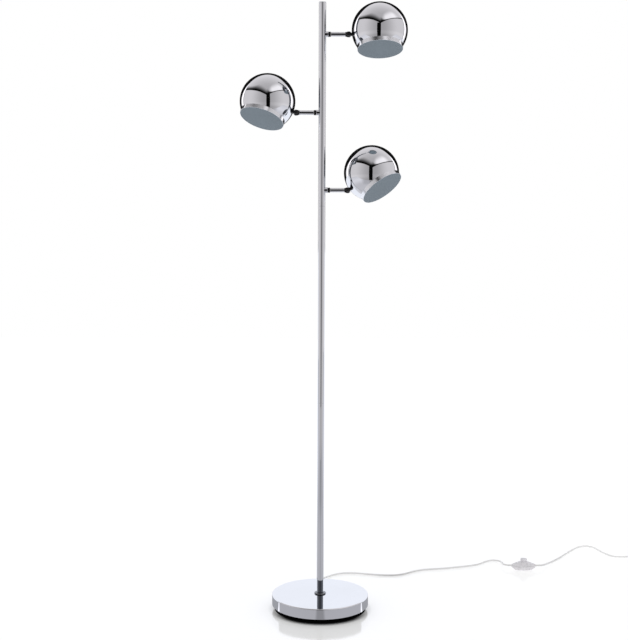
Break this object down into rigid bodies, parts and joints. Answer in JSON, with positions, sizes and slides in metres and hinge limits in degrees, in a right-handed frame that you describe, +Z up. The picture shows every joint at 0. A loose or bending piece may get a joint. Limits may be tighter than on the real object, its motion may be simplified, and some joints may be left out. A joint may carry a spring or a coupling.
{
  "type": "adjustable floor lamp",
  "caption": "Chrome floor lamp: a slim pole on a round weighted base carries ball spots on arms that swivel and tilt; the lead has a foot switch and a plug",
  "frame": {"origin": "centre of the base's underside, on the floor", "axes": "+Z up along the pole, -Y the front of the lamp, +X towards the side of the top and low spots; the lead leaves at +Y"},
  "size_m": [1.2365, 0.6948, 1.5528],
  "materials": {
    "chrome_plate": "polished mirror chrome plate on steel",
    "black_nickel": "dark polished plate",
    "cast_iron": "rough cast",
    "black_plastic": "moulded, matt",
    "rubber_pad": "soft, matt",
    "steel": "zinc plated",
    "brass": "turned",
    "nylon": "moulded, matt",
    "lead_pvc": "white insulation",
    "clear_pvc": "translucent grey, soft gloss",
    "button_plastic": "moulded, satin",
    "tie_plastic": "matt",
    "nickel": "nickel plated",
    "white_plastic": "moulded, satin",
    "bulb_white": "opal",
    "frosted_diffuser": "frosted, unlit"
  },
  "bodies": {
    "stand": {"base_cover": "chrome_plate", "base_weight": "cast_iron", "bottom_pan": "black_plastic", "floor_pad": "rubber_pad", "pan_screws": "steel", "pole_collar": "chrome_plate", "pole_stud": "brass", "stud_nut": "steel", "pole_lower": "chrome_plate", "pole_middle": "chrome_plate", "pole_upper": "chrome_plate", "pole_joiners": "brass", "pole_cap": "chrome_plate", "arm_bosses": "chrome_plate", "swivel_collars": "black_nickel", "friction_washers": "nylon", "retaining_nuts": "brass", "terminal_block": "nylon", "inner_leads": "lead_pvc", "cord_bush": "clear_pvc", "cord_to_switch": "clear_pvc", "cord_to_coil": "clear_pvc", "cord_coil": "clear_pvc", "coil_tie": "tie_plastic", "switch_base": "clear_pvc", "switch_cover": "clear_pvc", "switch_spring": "steel", "plug_body": "clear_pvc", "plug_pins": "nickel"},
    "top_arm": {"top_arm_tube": "chrome_plate", "top_arm_fork": "chrome_plate", "top_pivot_screws": "steel"},
    "top_head": {"top_tongue": "chrome_plate", "top_shade": "chrome_plate", "top_holder_bracket": "steel", "top_lamp_holder": "white_plastic", "top_bulb": "bulb_white", "top_diffuser": "frosted_diffuser", "top_head_lead": "lead_pvc"},
    "left_arm": {"left_arm_tube": "chrome_plate", "left_arm_fork": "chrome_plate", "left_pivot_screws": "steel"},
    "left_head": {"left_tongue": "chrome_plate", "left_shade": "chrome_plate", "left_holder_bracket": "steel", "left_lamp_holder": "white_plastic", "left_bulb": "bulb_white", "left_diffuser": "frosted_diffuser", "left_head_lead": "lead_pvc"},
    "low_arm": {"low_arm_tube": "chrome_plate", "low_arm_fork": "chrome_plate", "low_pivot_screws": "steel"},
    "low_head": {"low_tongue": "chrome_plate", "low_shade": "chrome_plate", "low_holder_bracket": "steel", "low_lamp_holder": "white_plastic", "low_bulb": "bulb_white", "low_diffuser": "frosted_diffuser", "low_head_lead": "lead_pvc"},
    "button": {"switch_button": "button_plastic"}
  },
  "joints": [
    {"name": "top_swivel", "type": "hinge", "parent": "stand", "child": "top_arm", "pos_m": [0.021, 0, 1.472], "axis": [1, 0, 0], "range_deg": [-133, 167]},
    {"name": "top_tilt", "type": "hinge", "parent": "top_arm", "child": "top_head", "pos_m": [0.066, 0, 1.472], "axis": [0, -0.9563, 0.2924], "range_deg": [-66, 64]},
    {"name": "left_swivel", "type": "hinge", "parent": "stand", "child": "left_arm", "pos_m": [-0.021, 0, 1.279], "axis": [1, 0, 0], "range_deg": [-127, 173]},
    {"name": "left_tilt", "type": "hinge", "parent": "left_arm", "child": "left_head", "pos_m": [-0.066, 0, 1.279], "axis": [0, 0.9205, -0.3907], "range_deg": [-81, 49]},
    {"name": "low_swivel", "type": "hinge", "parent": "stand", "child": "low_arm", "pos_m": [0.021, 0, 1.086], "axis": [1, 0, 0], "range_deg": [-123, 177]},
    {"name": "low_tilt", "type": "hinge", "parent": "low_arm", "child": "low_head", "pos_m": [0.066, 0, 1.086], "axis": [0, -0.891, 0.454], "range_deg": [-97, 33]},
    {"name": "foot_button", "type": "slide", "parent": "stand", "child": "button", "axis": [0, 0, -1], "range_m": [0, 0.003], "stiffness_N_per_m": 400, "springref_m": -0.003, "deforming": ["switch_spring"]}
  ]
}
